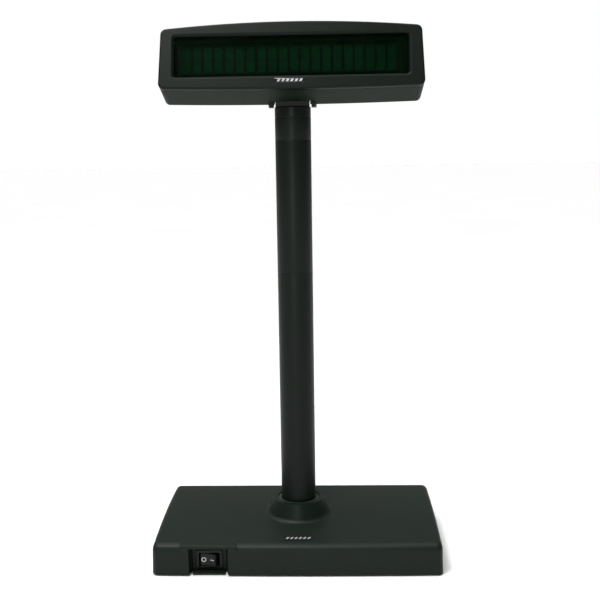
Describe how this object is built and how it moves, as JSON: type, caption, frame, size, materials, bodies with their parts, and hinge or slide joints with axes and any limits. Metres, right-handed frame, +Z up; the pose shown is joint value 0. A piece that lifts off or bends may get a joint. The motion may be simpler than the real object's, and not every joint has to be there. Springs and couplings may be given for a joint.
{
  "type": "customer pole display",
  "caption": "Customer pole display: weighted desk base with a power rocker, tube pole, swivel neck and a tilting head with a vacuum fluorescent display behind a tinted window.",
  "frame": {"origin": "on the counter, at the bottom centre of the base, on the pole's axis", "axes": "+Z up along the pole; -Y towards the person who reads the display; +X to that person's right"},
  "size_m": [0.23, 0.125, 0.4287],
  "materials": {
    "base_plastic": "fine-textured charcoal moulding",
    "badge_plate": "glossy dark plate with a small wordless pale mark",
    "ring_plastic": "smooth grey ring",
    "floor_steel": "black-coated sheet steel",
    "foot_rubber": "black rubber",
    "screw_steel": "zinc-plated steel",
    "ballast_steel": "dark painted steel slab",
    "socket_metal": "machined aluminium",
    "pole_finish": "fine-textured near-black powder coat",
    "switch_plastic": "glossy black switch body",
    "contact_metal": "bright contact metal",
    "lead_jacket": "red lead jacket",
    "rocker_plastic": "glossy black rocker",
    "white_mark": "white moulded mark",
    "board_green": "green circuit board",
    "port_shell": "nickel-plated shell",
    "port_plastic": "black connector plastic",
    "chip_plastic": "black chip body",
    "capacitor_sleeve": "dark blue capacitor sleeve",
    "header_plastic": "cream header plastic",
    "cable_jacket": "dark grey cable jacket",
    "bush_plastic": "black acetal",
    "neck_finish": "smooth satin black over a zinc casting",
    "head_plastic": "fine-textured charcoal moulding",
    "head_plastic_rear": "fine-textured charcoal moulding",
    "filter_tint": "dark green tinted filter",
    "badge_silver": "silver plate with a wordless mark",
    "bracket_steel": "zinc-plated pressed steel",
    "vfd_glass": "clear display glass",
    "vfd_backplate": "black-printed rear glass",
    "phosphor": "unlit grey-green phosphor",
    "grid_metal": "etched grid metal",
    "coil_ferrite": "ferrite"
  },
  "bodies": {
    "base": {"base_cover": "base_plastic", "base_badge": "badge_plate", "pole_foot_ring": "ring_plastic", "base_floor": "floor_steel", "rubber_feet": "foot_rubber", "floor_screws": "screw_steel", "ballast_plate": "ballast_steel", "plate_screws": "screw_steel", "pole_socket": "socket_metal", "pole_lower": "pole_finish", "pole_joiner": "socket_metal", "pole_upper": "pole_finish", "pole_top_tube": "pole_finish", "switch_body": "switch_plastic", "switch_terminals": "contact_metal", "switch_leads": "lead_jacket", "interface_board": "board_green", "board_standoffs": "contact_metal", "board_screws": "screw_steel", "serial_port_shells": "port_shell", "serial_port_inserts": "port_plastic", "port_pins": "contact_metal", "jackscrews": "screw_steel", "power_inlet": "port_plastic", "interface_chips": "chip_plastic", "interface_capacitors": "capacitor_sleeve", "pole_header": "header_plastic", "pole_cable": "cable_jacket", "swivel_bush": "bush_plastic"},
    "swivel": {"swivel_washer": "contact_metal", "swivel_nut": "screw_steel", "neck": "neck_finish", "neck_cable": "cable_jacket"},
    "head": {"front_bezel": "head_plastic", "rear_cover": "head_plastic_rear", "case_screws": "screw_steel", "filter_window": "filter_tint", "head_badge": "badge_silver", "tilt_bracket": "bracket_steel", "bracket_screws": "screw_steel", "hinge_pin": "screw_steel", "hinge_nut": "screw_steel", "friction_washers": "bush_plastic", "vfd_front_glass": "vfd_glass", "vfd_rear_glass": "vfd_backplate", "vfd_cells": "phosphor", "vfd_grids": "grid_metal", "vfd_filaments": "grid_metal", "vfd_leads": "contact_metal", "display_board": "board_green", "display_screws": "screw_steel", "driver_chips": "chip_plastic", "display_capacitors": "capacitor_sleeve", "converter_coil": "coil_ferrite", "cable_header": "header_plastic", "head_cable": "cable_jacket"},
    "rocker": {"rocker_button": "rocker_plastic", "rocker_marks": "white_mark", "rocker_plunger": "contact_metal"}
  },
  "joints": [
    {"name": "head_swivel", "type": "hinge", "parent": "base", "child": "swivel", "pos_m": [0, 0, 0.357], "axis": [0, 0, 1], "range_deg": [-135, 135]},
    {"name": "head_tilt", "type": "hinge", "parent": "swivel", "child": "head", "pos_m": [0, 0, 0.384], "axis": [-1, 0, 0], "range_deg": [-14, 16]},
    {"name": "power_rocker", "type": "hinge", "parent": "base", "child": "rocker", "pos_m": [-0.0698, -0.0514, 0.011], "axis": [0, 0, 1], "range_deg": [0, 24]}
  ]
}
